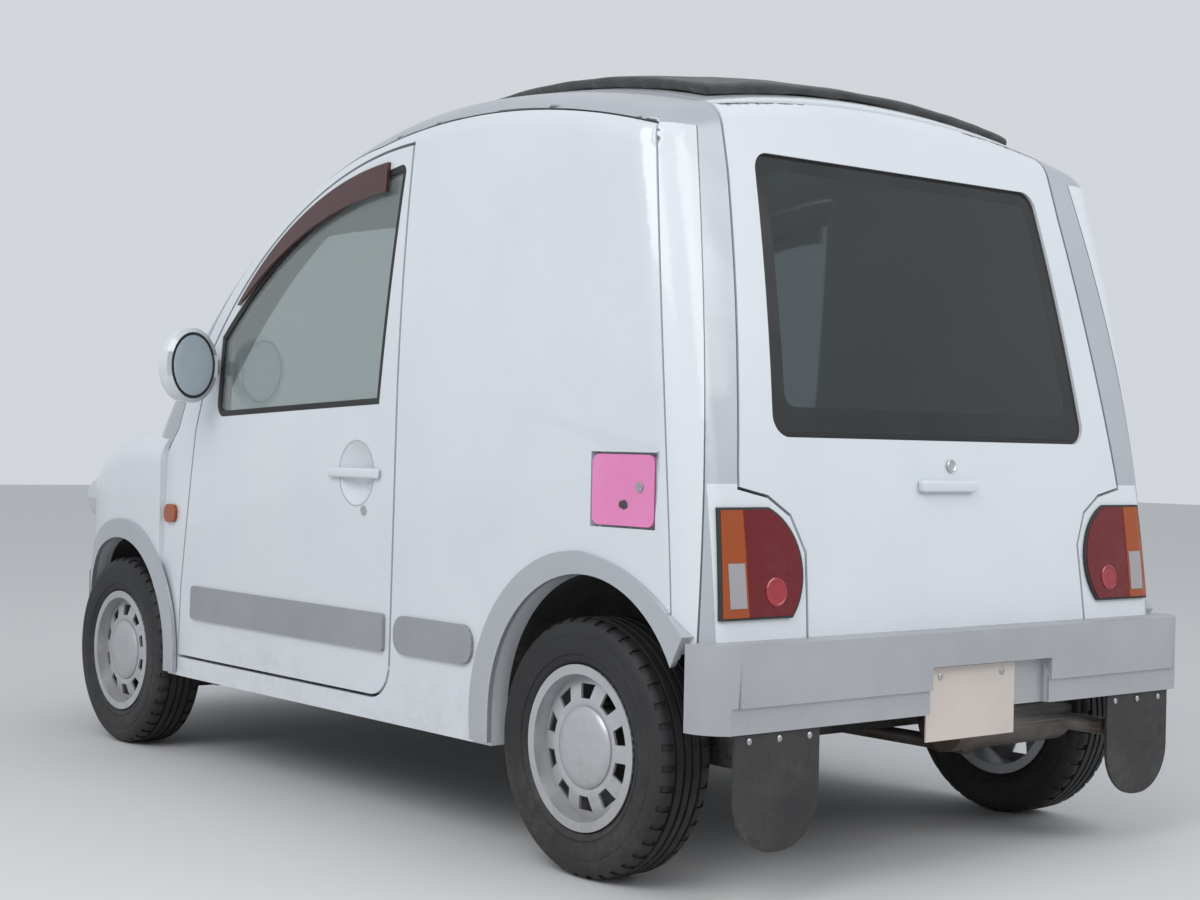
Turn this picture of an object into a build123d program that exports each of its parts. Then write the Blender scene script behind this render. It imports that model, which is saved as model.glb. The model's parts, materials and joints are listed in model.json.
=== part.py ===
from build123d import *
from math import cos, sin, tan, radians
import os

os.makedirs("parts", exist_ok=True)

# Millimetres. X points forward, Y to the van's left, Z up.
# Zero is under the middle of the van's length, on the ground.

# Main sizes
half_length = 1740
body_half = 785
shoulder_half = 750
sill_z = 250
wall = 45
nose_wall = 40
arch_top_x = -760
arch_top_z = 1740
front_arch_r = 1950
rear_arch_r = 2420
crown_rise = 95
shoulder_r = 95
lean_depth = 750
corner_r = 90
nose_r = 100
front_turn = 66
rear_turn = 25

front_wheel_x = 990
rear_wheel_x = -1270
wheel_z = 283
tyre_r = 283
tyre_half = 77.5
wheel_y = 697
steer_y = 680
arch_open_r = 334
front_arch_x = 970
front_arch_z = 297
rear_arch_x = -1308
rear_arch_z = 330
door_gap = 8
tail_gap = 7
band_y = 562
roof_rear_x = -1420

# Outlines seen from the side: x, z
rear_curve = [(-1672, 250), (-1670, 500), (-1613, 965), (-1462, 1640)]
bonnet_curve = [(700, 965), (1230, 890), (1690, 600)]
nose_plan = [(700, 785), (1050, 768), (1700, 250), (1722, 0)]


def plain_face(points):
    with BuildSketch() as face:
        with BuildLine():
            Polyline(*points, close=True)
        make_face()
    return face.sketch


def grown(shape, amount):
    with BuildSketch() as face:
        add(shape)
        offset(amount=amount, kind=Kind.INTERSECTION)
    return face.sketch


def side_prism(shape, y_low, y_high):
    with BuildPart() as prism:
        with BuildSketch(Plane.XZ.offset(-y_high)):
            add(shape)
        extrude(amount=y_high - y_low)
    return prism.part


def rear_prism(shape, x_low, x_high):
    with BuildPart() as prism:
        with BuildSketch(Plane.YZ.offset(x_low)):
            add(shape)
        extrude(amount=x_high - x_low)
    return prism.part


def plan_prism(shape, z_low, z_high):
    with BuildPart() as prism:
        with BuildSketch(Plane.XY.offset(z_low)):
            add(shape)
        extrude(amount=z_high - z_low)
    return prism.part


def block(x_low, x_high, y_low, y_high, z_low, z_high):
    with BuildPart() as prism:
        with BuildSketch(Plane.XY.offset(z_low)):
            with Locations(((x_low + x_high) / 2, (y_low + y_high) / 2)):
                Rectangle(x_high - x_low, y_high - y_low)
        extrude(amount=z_high - z_low)
    return prism.part


def rod_y(x, z, radius, y_low, y_high):
    with BuildPart() as prism:
        with BuildSketch(Plane.XZ.offset(-y_high)):
            with Locations((x, z)):
                Circle(radius)
        extrude(amount=y_high - y_low)
    return prism.part


def rod_x(y, z, radius, x_low, x_high):
    with BuildPart() as prism:
        with BuildSketch(Plane.YZ.offset(x_low)):
            with Locations((y, z)):
                Circle(radius)
        extrude(amount=x_high - x_low)
    return prism.part


def rod_z(x, y, radius, z_low, z_high):
    with BuildPart() as prism:
        with BuildSketch(Plane.XY.offset(z_low)):
            with Locations((x, y)):
                Circle(radius)
        extrude(amount=z_high - z_low)
    return prism.part


# Cross-section of the cab and load space, across the top of its arch
def arch_section(radius, inset):
    half = body_half - inset
    shoulder = shoulder_half - inset
    low = arch_top_z - 1350
    straight = arch_top_z - lean_depth
    top = arch_top_z - inset
    with BuildSketch(Plane.YZ.offset(arch_top_x)) as section:
        with BuildLine():
            Line((-half, low), (half, low))
            Line((half, low), (half, straight))
            right = TangentArc((half, straight), (shoulder, top), tangent=(0, 1))
            left = TangentArc((-half, straight), (-shoulder, top), tangent=(0, 1))
            ThreePointArc(right @ 1, (0, top + crown_rise), left @ 1)
            Line((-half, straight), (-half, low))
        make_face()
        fillet(section.vertices().sort_by(Axis.Y)[-2:], max(shoulder_r - inset, 20))
    return section.sketch


def cabin(inset):
    front_axis = Axis((arch_top_x, 0, arch_top_z - front_arch_r), (0, 1, 0))
    rear_axis = Axis((arch_top_x, 0, arch_top_z - rear_arch_r), (0, -1, 0))
    front = arch_section(front_arch_r, inset)
    rear = arch_section(rear_arch_r, inset)
    front_end = front.rotate(front_axis, front_turn)
    rear_end = rear.rotate(rear_axis, rear_turn)
    front_way = Vector(cos(radians(front_turn)), 0, -sin(radians(front_turn)))
    rear_way = Vector(-cos(radians(rear_turn)), 0, -sin(radians(rear_turn)))
    low = plain_face([(-1750, 100), (300, 100), (100, 520), (-1750, 520)])
    p = [(x + inset, z) for x, z in rear_curve]
    with BuildSketch() as limit:
        with BuildLine():
            Polyline((p[1][0], p[1][1]), (p[0][0], p[0][1] - 100), (2500, 150), (2500, 2600))
            bend = ThreePointArc(p[1], p[2], p[3])
            end = bend @ 1 + (bend % 1) * 500
            Polyline(bend @ 1, end, (2500, 2600))
        make_face()
    with BuildPart() as form:
        add(front)
        revolve(axis=front_axis, revolution_arc=front_turn)
        extrude(front_end, amount=500, dir=front_way)
        add(rear)
        revolve(axis=rear_axis, revolution_arc=rear_turn)
        extrude(rear_end, amount=900, dir=rear_way)
        add(side_prism(low, inset - body_half, body_half - inset))
        add(side_prism(limit.sketch, -900, 900), mode=Mode.INTERSECT)
        add(block(-1800, 2000, -900, 900, sill_z, 2200), mode=Mode.INTERSECT)
        ends = []
        for face in form.faces():
            if face.center().X < -1390 and abs(face.normal_at().X) > 0.8:
                ends.append(face)
        corners = []
        for face in ends:
            for edge in face.edges():
                uses = sum(any(edge.is_same(other) for other in one.edges()) for one in ends)
                if uses == 1 and (edge @ 0.5).Z > sill_z + 10:
                    corners.append(edge)
        fillet(corners, max(corner_r - inset, 25))
        add(block(700, 2000, -900, 900, 200, 850), mode=Mode.SUBTRACT)
    return form.part


def nose_outline(inset):
    with BuildSketch() as plan:
        with BuildLine():
            start, wide, tip, front = nose_plan
            side_line = Line(start, wide)
            TangentArc(wide, tip, tangent=side_line % 1)
            ThreePointArc(tip, front, (tip[0], -tip[1]))
            other_line = Line((start[0], -start[1]), (wide[0], -wide[1]))
            TangentArc((wide[0], -wide[1]), (tip[0], -tip[1]), tangent=other_line % 1)
            Line(start, (start[0], -start[1]))
        make_face()
        if inset:
            offset(amount=-inset, kind=Kind.INTERSECTION)
    return plan.sketch


def nose(inset):
    with BuildSketch() as side:
        with BuildLine():
            top = ThreePointArc(*bonnet_curve)
            Polyline(top @ 1, (1705, 470), (1640, 250), (700, 250), top @ 0)
        make_face()
        if inset:
            offset(amount=-inset, kind=Kind.INTERSECTION)
    with BuildPart() as form:
        add(side_prism(side.sketch, -900, 900))
        add(plan_prism(nose_outline(inset), 100, 1300), mode=Mode.INTERSECT)
        rim = [e for e in form.edges() if (e @ 0.5).Z > 560 and (e @ 0.5).X > 720 + inset]
        rim = [e for e in rim if abs((e @ 0).Z - (e @ 1).Z) < 3 * abs((e @ 0).X - (e @ 1).X)]
        fillet(rim, nose_r - inset)
        if inset > 0:
            add(block(600, 800, inset - 780, 780 - inset, sill_z, 860))
        add(block(500 if inset > 0 else 700, 2000, -900, 900, sill_z, 1300), mode=Mode.INTERSECT)
    return form.part


# Outlines of doors, windows and bands seen from the side: x, z
with BuildSketch() as door_outline:
    with BuildLine():
        door_low = Polyline((-465, 312), (569, 312), (566, 496), (513, 961), (430, 1194))
        door_arc = ThreePointArc((430, 1194), (36, 1508), (-565, 1666))
        door_back = Line((-565, 1666), (-542, 388))
        ThreePointArc((-542, 388), (-517, 334), (-465, 312))
    make_face()

with BuildSketch() as window_outline:
    with BuildLine():
        Polyline((-546, 1625), (-478, 1031), (388, 998), (381, 1223))
        ThreePointArc((381, 1223), (34, 1453), (-546, 1625))
    make_face()
    fillet(window_outline.vertices().group_by(Axis.Y)[0], 40)
    fillet(window_outline.vertices().sort_by(Axis.Y)[-1:], 20)

# The white panel below the arched silver band: its edge at front, top and rear
with BuildSketch() as white_outline:
    with BuildLine():
        front_edge = ThreePointArc((824, 690), (742, 841), (632, 965))
        front_bow = ThreePointArc((632, 965), (310, 1390), (-405, 1678))
        rear_bow = ThreePointArc((-405, 1678), (-944, 1704), (-1440, 1622))
        rear_drop = ThreePointArc((-1440, 1622), (-1545, 1000), (-1585, 560))
        Polyline((-1585, 560), (-1590, 200), (824, 200), (824, 690))
    make_face()

# Outlines seen from behind: y, z
tailgate_half = [(0, 545), (468, 545), (460, 723), (498, 802), (561, 843), (641, 860), (638, 895), (593, 1251), (561, 1530), (553, 1660)]
tailgate_loop = tailgate_half + [(553, 2000), (-553, 2000)] + [(-y, z) for y, z in reversed(tailgate_half[1:])]
tailgate_face = plain_face([(y, z) for y, z in tailgate_loop])
rear_window_loop = [(532, 965), (478, 1587), (-478, 1587), (-532, 965)]
with BuildSketch() as rear_window:
    with BuildLine():
        Polyline(*rear_window_loop, close=True)
    make_face()
    fillet(rear_window.vertices(), 45)

# The two forms and the hollow shell
outer_cabin = cabin(0)
inner_cabin = cabin(wall)
outer_nose = nose(0)
inner_nose = nose(nose_wall)
with BuildPart() as arches:
    for y_low, y_high in ((-900, -470), (470, 900)):
        add(rod_y(front_arch_x, front_arch_z, arch_open_r, y_low, y_high))
        add(block(front_arch_x - arch_open_r, front_arch_x + arch_open_r, y_low, y_high, 100, front_arch_z))
    for y_low, y_high in ((-900, -580), (580, 900)):
        add(rod_y(rear_arch_x, rear_arch_z, arch_open_r, y_low, y_high))
        add(block(rear_arch_x - arch_open_r, rear_arch_x + arch_open_r, y_low, y_high, 100, rear_arch_z))

with BuildPart() as shell:
    add(outer_cabin)
    add(outer_nose)
    add(inner_cabin, mode=Mode.SUBTRACT)
    add(inner_nose, mode=Mode.SUBTRACT)
    add(arches.part, mode=Mode.SUBTRACT)
    add(block(-1800, -1594, -900, 900, 200, 366), mode=Mode.SUBTRACT)

with BuildPart() as front_shell:
    add(shell.part)
    add(outer_nose, mode=Mode.INTERSECT)

with BuildPart() as cabin_shell:
    add(shell.part)
    add(outer_nose, mode=Mode.SUBTRACT)

glass_outer = cabin(8)
glass_inner = cabin(14)
with BuildPart() as glass_layer:
    add(glass_outer)
    add(glass_inner, mode=Mode.SUBTRACT)
seal_inner = cabin(26)
with BuildPart() as seal_layer:
    add(cabin(2))
    add(seal_inner, mode=Mode.SUBTRACT)
skin = cabin(-0.4)
with BuildPart() as trim_layer:
    add(cabin(-9))
    add(skin, mode=Mode.SUBTRACT)

left_space = block(-2000, 2000, 400, 950, 0, 2300)
door_space = side_prism(grown(door_outline.sketch, door_gap), 500, 900)
door_body = side_prism(door_outline.sketch, 500, 900)
window_space = side_prism(window_outline.sketch, 500, 900)
white_space = side_prism(white_outline.sketch, 690, 900)
white_gap = side_prism(grown(white_outline.sketch, 4), 690, 900)
tail_space = rear_prism(grown(tailgate_face, tail_gap), -1800, roof_rear_x)
tail_body = rear_prism(tailgate_face, -1800, roof_rear_x - tail_gap)
fuel_flap_space = side_prism(grown(plain_face([(-1526, 772), (-1323, 772), (-1323, 922), (-1526, 922)]), 5), 760, 900)

# Body panels
with BuildPart() as side_plain:
    add(cabin_shell.part)
    add(white_space, mode=Mode.INTERSECT)
    add(door_space, mode=Mode.SUBTRACT)

with BuildPart() as side_panel_left:
    add(side_plain.part)
    add(fuel_flap_space, mode=Mode.SUBTRACT)

with BuildPart() as side_panel_right:
    add(mirror(side_plain.part, about=Plane.XZ))

with BuildPart() as arch_bands:
    add(cabin_shell.part)
    add(block(-2000, 2000, 200, 900, 541, 2300), mode=Mode.INTERSECT)
    add(white_gap, mode=Mode.SUBTRACT)
    add(door_space, mode=Mode.SUBTRACT)
    add(tail_space, mode=Mode.SUBTRACT)
    add(block(roof_rear_x - 1, 2000, 100, band_y, 700, 2300), mode=Mode.SUBTRACT)
    mirror(about=Plane.XZ)

with BuildPart() as rear_panel:
    add(cabin_shell.part)
    add(block(-1800, -1600, -730, 730, 369, 537.5), mode=Mode.INTERSECT)

canvas_x_low = -1360
canvas_x_high = -50
canvas_half = 510
with BuildPart() as roof_panel:
    add(cabin_shell.part)
    add(block(roof_rear_x, 140, -band_y + 3, band_y - 3, 1300, 2300), mode=Mode.INTERSECT)
    add(block(canvas_x_low, canvas_x_high, -canvas_half, canvas_half, 1300, 2300), mode=Mode.SUBTRACT)

with BuildPart() as canvas_top:
    add(cabin(-25))
    add(skin, mode=Mode.SUBTRACT)
    add(block(canvas_x_low - 12, canvas_x_high + 12, -canvas_half - 12, canvas_half + 12, 1300, 2300), mode=Mode.INTERSECT)

with BuildPart() as windscreen:
    add(glass_layer.part)
    add(block(142, 900, -band_y + 3, band_y - 3, 985, 2300), mode=Mode.INTERSECT)

bonnet_x_low = 930
bonnet_x_high = 1600
bonnet_half = 470
with BuildPart() as bonnet:
    add(front_shell.part)
    add(block(bonnet_x_low, bonnet_x_high, -bonnet_half, bonnet_half, 600, 1300), mode=Mode.INTERSECT)

with BuildPart() as front_wings:
    add(front_shell.part)
    gap = 7
    add(block(bonnet_x_low - gap, bonnet_x_high + gap, -bonnet_half - gap, bonnet_half + gap, 560, 1300), mode=Mode.SUBTRACT)
    add(block(600, 2000, -900, 900, 300, 1300), mode=Mode.INTERSECT)

# Doors
with BuildPart() as door_left:
    add(cabin_shell.part)
    add(door_body, mode=Mode.INTERSECT)
    add(window_space, mode=Mode.SUBTRACT)

with BuildPart() as door_seal_left:
    add(seal_layer.part)
    add(side_prism(grown(window_outline.sketch, -0.4), 500, 900), mode=Mode.INTERSECT)
    add(side_prism(grown(window_outline.sketch, -16), 500, 900), mode=Mode.SUBTRACT)

with BuildPart() as door_glass_left:
    add(glass_layer.part)
    add(side_prism(grown(window_outline.sketch, -16.4), 500, 900), mode=Mode.INTERSECT)

# Tailgate
with BuildPart() as tailgate:
    add(cabin_shell.part)
    add(tail_body, mode=Mode.INTERSECT)
    add(rear_prism(rear_window.sketch, -1800, -1200), mode=Mode.SUBTRACT)

with BuildPart() as tailgate_glass:
    add(glass_layer.part)
    add(rear_prism(grown(rear_window.sketch, -0.5), -1800, -1300), mode=Mode.INTERSECT)

with BuildPart() as tailgate_handle:
    add(block(-1655, -1600, -95, 95, 845, 880))
    add(outer_cabin, mode=Mode.SUBTRACT)

# Trims on the doors and the body
def box_face(x_low, x_high, z_low, z_high, radius):
    with BuildSketch() as face:
        with Locations(((x_low + x_high) / 2, (z_low + z_high) / 2)):
            RectangleRounded(x_high - x_low, z_high - z_low, radius)
    return face.sketch


with BuildPart() as door_moulding_left:
    add(trim_layer.part)
    add(side_prism(box_face(-526, 487, 422, 515, 12), 500, 900), mode=Mode.INTERSECT)

with BuildSketch() as visor_outline:
    with BuildLine():
        visor_low = ThreePointArc((240, 1330), (-34, 1470), (-470, 1560))
        visor_high = ThreePointArc((-470, 1633), (34, 1490), (285, 1310))
        Line(visor_low @ 1, visor_high @ 0)
        Line(visor_high @ 1, visor_low @ 0)
    make_face()
with BuildPart() as window_visor_left:
    add(trim_layer.part)
    add(side_prism(visor_outline.sketch, 400, 900), mode=Mode.INTERSECT)

with BuildPart() as door_handle_left:
    add(block(-494, -260, 785.3, 801, 846, 872))
    add(rod_y(-420, 765, 12, 785.3, 790))

with BuildPart() as mirror_left:
    with BuildSketch(Plane.YZ.offset(350)):
        with Locations((868, 1140)):
            Ellipse(78, 104)
    extrude(amount=75)
    fillet(mirror_left.edges().sort_by(Axis.X)[-1], 30)
    add(block(392, 424, 750, 800, 1120, 1160))
    add(outer_cabin, mode=Mode.SUBTRACT)

with BuildPart() as side_mouldings:
    add(trim_layer.part)
    add(side_prism(box_face(-900, -574, 425, 517, 40), 500, 900), mode=Mode.INTERSECT)
    mirror(about=Plane.XZ)

with BuildPart() as marker_lamps:
    add(trim_layer.part)
    add(side_prism(box_face(612, 688, 690, 743, 24), 500, 900), mode=Mode.INTERSECT)
    mirror(about=Plane.XZ)

with BuildSketch() as rear_flare_outline:
    with BuildLine():
        flare_front = ThreePointArc((-908, 250), (-960, 530), (-1281, 712))
        flare_rear = ThreePointArc((-1281, 712), (-1512, 646), (-1634, 556))
        Polyline((-1634, 556), (-1560, 420), (-1200, 240), (-908, 250))
    make_face()
    with Locations((rear_arch_x, rear_arch_z)):
        Circle(arch_open_r - 1, mode=Mode.SUBTRACT)
    with Locations((rear_arch_x, rear_arch_z - 300)):
        Rectangle(2 * arch_open_r - 2, 600, mode=Mode.SUBTRACT)
    with Locations((rear_arch_x, 158)):
        Rectangle(900, 200, mode=Mode.SUBTRACT)
with BuildSketch() as front_flare_outline:
    with Locations((964, 300)):
        Circle(388)
    with Locations((front_arch_x, front_arch_z)):
        Circle(arch_open_r - 1, mode=Mode.SUBTRACT)
    with Locations((front_arch_x, front_arch_z - 300)):
        Rectangle(2 * arch_open_r - 2, 600, mode=Mode.SUBTRACT)
    with Locations((front_arch_x, 158)):
        Rectangle(900, 200, mode=Mode.SUBTRACT)
with BuildSketch() as flare_plan:
    with Locations((600, 0)):
        Rectangle(202, 2 * body_half)
    add(nose_outline(0))
with BuildPart() as rear_flare:
    add(side_prism(rear_flare_outline.sketch, 500, 797))
    add(skin, mode=Mode.SUBTRACT)
with BuildPart() as front_flare:
    add(side_prism(front_flare_outline.sketch, 400, 900))
    add(plan_prism(grown(flare_plan.sketch, 12), 200, 720), mode=Mode.INTERSECT)
    add(plan_prism(grown(flare_plan.sketch, 0.4), 100, 800), mode=Mode.SUBTRACT)
with BuildPart() as arch_trims:
    add(rear_flare.part)
    add(front_flare.part)
    mirror(about=Plane.XZ)

# Lamps
lamp_loop = [(725, 590), (700, 820), (560, 815), (500, 765), (479, 700), (490, 640), (520, 588)]
with BuildSketch() as lamp_outline:
    with BuildLine():
        Line((722, 588), (712, 818))
        Line((712, 818), (570, 818))
        ThreePointArc((570, 818), (482, 700), (520, 588))
        Line((520, 588), (722, 588))
    make_face()
with BuildPart() as tail_lamps:
    add(trim_layer.part)
    add(rear_prism(lamp_outline.sketch, -1800, -1500), mode=Mode.INTERSECT)
    mirror(about=Plane.XZ)

with BuildPart() as headlamps:
    for y in (-570, 570):
        add(rod_x(y, 735, 85, 1250, 1500))
    fillet(headlamps.edges().group_by(Axis.X)[-1], 20)
    add(outer_nose, mode=Mode.SUBTRACT)

# Bumpers, plates, flaps
with BuildSketch() as rear_bumper_outline:
    with BuildLine():
        Polyline((-1644, -797), (-1644, 797))
        ThreePointArc((-1644, 797), (-1722, 765), (-1740, 690))
        Line((-1740, 690), (-1740, -690))
        ThreePointArc((-1740, -690), (-1722, -765), (-1644, -797))
    make_face()
with BuildPart() as rear_bumper:
    add(plan_prism(rear_bumper_outline.sketch, 366, 545))
    add(block(-half_length, 0, -797, 797, 366, 545), mode=Mode.INTERSECT)
    add(outer_cabin, mode=Mode.SUBTRACT)
    add(block(-1760, -1712, -256, 156, 340, 470), mode=Mode.SUBTRACT)
    add(block(-1760, -1732, -900, 900, 340, 420), mode=Mode.SUBTRACT)

with BuildPart() as front_bumper:
    add(plan_prism(grown(nose_outline(0), 18), 300, 505))
    add(block(1360, 1800, -900, 900, 200, 600), mode=Mode.INTERSECT)
    add(outer_nose, mode=Mode.SUBTRACT)
    add(block(1733, 1800, -160, 160, 345, 475), mode=Mode.SUBTRACT)

with BuildPart() as number_plates:
    add(block(-1716, -1712.3, -150, 150, 303, 465))
    add(block(1733.3, 1737, -150, 150, 355, 465))

flap_loop = [(-130, 365.7), (130, 365.7), (130, 200), (95, 135), (0, 120), (-95, 135), (-130, 200)]
with BuildPart() as mud_flaps:
    for y in (-600, 600):
        add(rear_prism(plain_face([(y + a, b) for a, b in flap_loop]), -1725, -1718))

with BuildPart() as fuel_flap:
    add(cabin_shell.part)
    add(side_prism(box_face(-1526, -1323, 772, 922, 20), 777, 900), mode=Mode.INTERSECT)

with BuildPart() as fuel_filler:
    add(rod_y(-1425, 847, 34, 760.3, 771))

# Floor, wheel houses and bulkhead
with BuildPart() as floor_pan:
    add(block(-560, 460, -739, 739, 262, 282))
    add(block(460, 688, -735, 735, 262, 282))
    add(block(-575, -560, -739, 739, 262, 480))
    add(block(-1580, -575, -739, 739, 465, 480))
    for y_low, y_high in ((-739, -568), (568, 739)):
        add(rod_y(rear_arch_x, rear_arch_z, arch_open_r + 12, y_low, y_high))
        add(block(rear_arch_x - 300, rear_arch_x + arch_open_r + 12, y_low, y_high, 262, rear_arch_z))
    add(block(-1580, 700, -900, 900, 262, 900), mode=Mode.INTERSECT)
    add(block(-1622, -1570, -650, 650, 465, 480))
    add(block(-1330, -1210, -590, 590, 200, 340), mode=Mode.SUBTRACT)
    add(arches.part, mode=Mode.SUBTRACT)

with BuildPart() as front_inner:
    add(block(688.3, 700, -739, 739, 262, 850))
    add(block(700, 1000, -739, 739, 838, 850))
    for y_low, y_high in ((-720, -458), (458, 720)):
        add(rod_y(front_arch_x, front_arch_z, arch_open_r + 10, y_low, y_high))
        add(block(front_arch_x - arch_open_r - 10, front_arch_x + arch_open_r + 10, y_low, y_high, 262, front_arch_z))
    add(inner_nose, mode=Mode.INTERSECT)
    add(block(688.3, 1400, -739, 739, 262, 850), mode=Mode.INTERSECT)
    add(arches.part, mode=Mode.SUBTRACT)

with BuildPart() as engine:
    add(block(1000, 1380, -430, 430, 340, 740))
    fillet(engine.edges(), 25)

with BuildPart() as dashboard:
    add(block(480, 687, -700, 700, 740, 880))
    add(block(500, 620, -150, 150, 880, 950))

with BuildPart() as seats:
    for y in (-350, 350):
        add(block(-220, 260, y - 235, y + 235, 282.3, 400))
        add(block(-260, 280, y - 245, y + 245, 400, 540))
        with BuildSketch(Plane.XZ.offset(-y - 240)):
            Polygon((-260, 480), (-120, 480), (-230, 1060), (-350, 1060), align=None)
        extrude(amount=480)
        with BuildSketch(Plane.XZ.offset(-y - 120)):
            Polygon((-345, 1075), (-235, 1075), (-262, 1200), (-350, 1200), align=None)
        extrude(amount=240)
        add(block(-310, -280, y - 60, y + 60, 1050, 1090))

# Running gear
with BuildPart() as front_suspension:
    for side in (-1, 1):
        y_a, y_b = sorted((side * 425, side * 700))
        add(block(960, 1020, y_a, y_b, 160, 178))
        add(rod_z(990, side * 565, 20, 170, 628))
    add(block(940, 1040, -457.7, 457.7, 160, 262))

with BuildPart() as rear_axle:
    add(rod_y(rear_wheel_x, wheel_z, 30, -600, 600))
    add(rod_y(rear_wheel_x, wheel_z, 95, 600, 731.7))
    add(rod_y(rear_wheel_x, wheel_z, 95, -731.7, -600))
    for y in (-455, 455):
        add(block(-1270, -850, y - 22, y + 22, 262, 300))
        add(block(-880, -850, y - 22, y + 22, 262, 464.7))
        add(rod_z(-1270, y, 45, 300, 464.7))

with BuildPart() as fuel_tank:
    add(block(-1180, -640, -380, 380, 264, 464.7))
    fillet(fuel_tank.edges().filter_by(Axis.Z), 40)

with BuildPart() as exhaust:
    add(rod_y(-1500, 300, 72, -560, -150))
    add(rod_x(-532, 284, 21, -1690, -1500))
    add(rod_x(-250, 232, 18, -1500, 900))

with BuildPart() as knuckle_left:
    add(block(968, 1012, 600, 640, 178.4, 390))
    add(block(968, 1012, 600, 695, 178.4, 200))
    add(rod_y(front_wheel_x, wheel_z, 70, 640, 731.7))

with BuildPart() as tyre_blank:
    with BuildSketch(Plane.XY):
        with BuildLine():
            Polyline((166.3, 61.7), (182, 61.7), (190, 70), (225, 77.5), (262, 74), (283, 58), (283, -58))
            Polyline((283, -58), (262, -74), (225, -77.5), (190, -70), (182, -61.7), (166.3, -61.7), (166.3, 61.7))
        make_face()
    revolve(axis=Axis.Y)

rim_loop = [(0, 35), (70, 35), (100, 48), (135, 40), (158, 30), (158, -69), (181, -69), (181, -62), (166, -62)]
rim_loop += [(166, 62), (181, 62), (181, 69), (160, 69), (158, 36), (135, 46), (100, 54), (72, 42), (68, 56), (0, 60)]
with BuildPart() as rim_blank:
    with BuildSketch(Plane.XY):
        Polygon(*rim_loop, align=None)
    revolve(axis=Axis.Y)
    window = plain_face([(106, -15), (138, -24), (138, 24), (106, 15)])
    for turn in range(10):
        add(side_prism(window.rotate(Axis.Z, 36 * turn + 18), 0, 100), mode=Mode.SUBTRACT)

wheel_places = {
    "front_left": (front_wheel_x, wheel_y, 0),
    "front_right": (front_wheel_x, -wheel_y, 180),
    "rear_left": (rear_wheel_x, wheel_y, 0),
    "rear_right": (rear_wheel_x, -wheel_y, 180),
}

# Steering wheel
with BuildPart() as steering_wheel:
    with BuildSketch(Plane.XZ):
        with Locations((175, 0)):
            Circle(13)
    revolve(axis=Axis.Z)
    with BuildSketch(Plane.XY.offset(-4)):
        Rectangle(350, 26)
        Rectangle(26, 175, align=(Align.CENTER, Align.MAX))
    extrude(amount=8)
    with BuildSketch(Plane.XY.offset(-20)):
        Circle(38)
    extrude(amount=34)

column_at = (330, -350, 850)
column_tilt = -60
wheel_pose = Location(column_at, (0, column_tilt, 0))
with BuildPart() as steering_column:
    with BuildSketch(Plane(wheel_pose).offset(-20.3)):
        Circle(22)
    extrude(amount=-170)
    add(dashboard.part, mode=Mode.SUBTRACT)

rights = {
    "door_right": door_left, "door_seal_right": door_seal_left, "door_glass_right": door_glass_left,
    "door_moulding_right": door_moulding_left, "window_visor_right": window_visor_left,
    "door_handle_right": door_handle_left, "mirror_right": mirror_left, "knuckle_right": knuckle_left,
}

pieces = {
    "side_panel_left": side_panel_left, "side_panel_right": side_panel_right, "arch_bands": arch_bands,
    "rear_panel": rear_panel, "roof_panel": roof_panel, "canvas_top": canvas_top, "windscreen": windscreen,
    "front_wings": front_wings, "bonnet": bonnet, "front_inner": front_inner, "floor_pan": floor_pan,
    "engine": engine, "dashboard": dashboard, "steering_column": steering_column, "seats": seats,
    "front_bumper": front_bumper, "rear_bumper": rear_bumper, "headlamps": headlamps, "tail_lamps": tail_lamps,
    "marker_lamps": marker_lamps, "arch_trims": arch_trims, "side_mouldings": side_mouldings,
    "number_plates": number_plates, "mud_flaps": mud_flaps, "exhaust": exhaust, "fuel_tank": fuel_tank,
    "fuel_filler": fuel_filler, "front_suspension": front_suspension, "rear_axle": rear_axle,
    "door_left": door_left, "door_seal_left": door_seal_left, "door_glass_left": door_glass_left,
    "door_moulding_left": door_moulding_left, "window_visor_left": window_visor_left,
    "door_handle_left": door_handle_left, "mirror_left": mirror_left, "tailgate": tailgate,
    "tailgate_glass": tailgate_glass, "tailgate_handle": tailgate_handle, "fuel_flap": fuel_flap,
    "knuckle_left": knuckle_left,
}
for label, piece in pieces.items():
    piece.part.label = label
    export_step(piece.part, "parts/" + label + ".step")

for label, piece in rights.items():
    with BuildPart() as copy:
        add(mirror(piece.part, about=Plane.XZ))
    copy.part.label = label
    export_step(copy.part, "parts/" + label + ".step")

for corner, (x, y, turn) in wheel_places.items():
    with BuildPart() as tyre:
        add(tyre_blank.part.moved(Location((x, y, wheel_z))))
    tyre.part.label = "tyre_" + corner
    export_step(tyre.part, "parts/tyre_" + corner + ".step")
    with BuildPart() as rim:
        add(rim_blank.part.moved(Location((x, y, wheel_z), (0, 0, turn))))
    rim.part.label = "rim_" + corner
    export_step(rim.part, "parts/rim_" + corner + ".step")

with BuildPart() as wheel_in_place:
    add(steering_wheel.part.moved(wheel_pose))
wheel_in_place.part.label = "steering_wheel"
export_step(wheel_in_place.part, "parts/steering_wheel.step")
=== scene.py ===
import bpy
import bmesh
import json
from math import radians, sin, cos, pi
from mathutils import Matrix, Vector


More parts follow.
